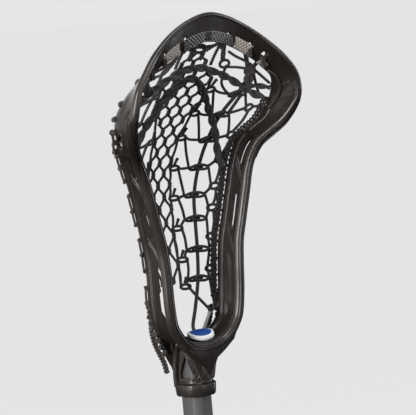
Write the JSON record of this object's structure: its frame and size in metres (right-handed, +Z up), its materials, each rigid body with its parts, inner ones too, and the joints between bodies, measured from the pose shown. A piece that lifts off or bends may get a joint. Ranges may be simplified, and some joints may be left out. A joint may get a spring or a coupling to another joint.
{
  "type": "lacrosse stick",
  "caption": "Field lacrosse stick: an open moulded head with a strung net pocket, a foam ball stop and a long octagonal tube shaft with a rubber butt cap.",
  "frame": {"origin": "middle of the butt cap's end face, where the lower hand closes round the stick", "axes": "+Z up the shaft towards the scoop, -Y out of the head's open front, +X to the right seen from the front"},
  "size_m": [0.191, 0.0918, 1.0785],
  "materials": {
    "head_plastic": "near-black nylon, satin",
    "shaft_coating": "matte slate-grey coating on an alloy tube",
    "cap_rubber": "matte black rubber",
    "screw_steel": "plain steel pan head",
    "pad_foam": "pale closed-cell foam",
    "pad_print": "blue printed film",
    "net_cord": "thin twisted nylon cord",
    "runner_strap": "flat nylon strap",
    "lace_cord": "smooth waxed nylon lace",
    "wall_cord": "braided nylon cord",
    "shooter_cord": "thick twisted nylon strands"
  },
  "bodies": {
    "root": {"head_frame": "head_plastic", "shaft": "shaft_coating", "butt_cap": "cap_rubber", "head_screw": "screw_steel", "ball_stop_pad": "pad_foam", "ball_stop_print": "pad_print", "pocket_mesh": "net_cord", "runner_left": "runner_strap", "runner_right": "runner_strap", "interlace_left": "lace_cord", "interlace_right": "lace_cord", "crosslace_left": "lace_cord", "crosslace_right": "lace_cord", "sidewall_string_left": "wall_cord", "sidewall_string_right": "wall_cord", "throat_tie_left": "lace_cord", "throat_tie_right": "lace_cord", "scoop_lace_left": "wall_cord", "scoop_lace_middle": "wall_cord", "scoop_lace_right": "wall_cord", "scoop_tie_left": "lace_cord", "scoop_tie_right": "lace_cord", "shoulder_tie_left": "lace_cord", "shoulder_tie_right": "lace_cord", "top_drop_left": "lace_cord", "top_drop_right": "lace_cord", "upper_shooting_string": "shooter_cord", "lower_shooting_string": "shooter_cord", "string_tail_left": "wall_cord", "string_tail_right": "wall_cord"}
  },
  "joints": []
}
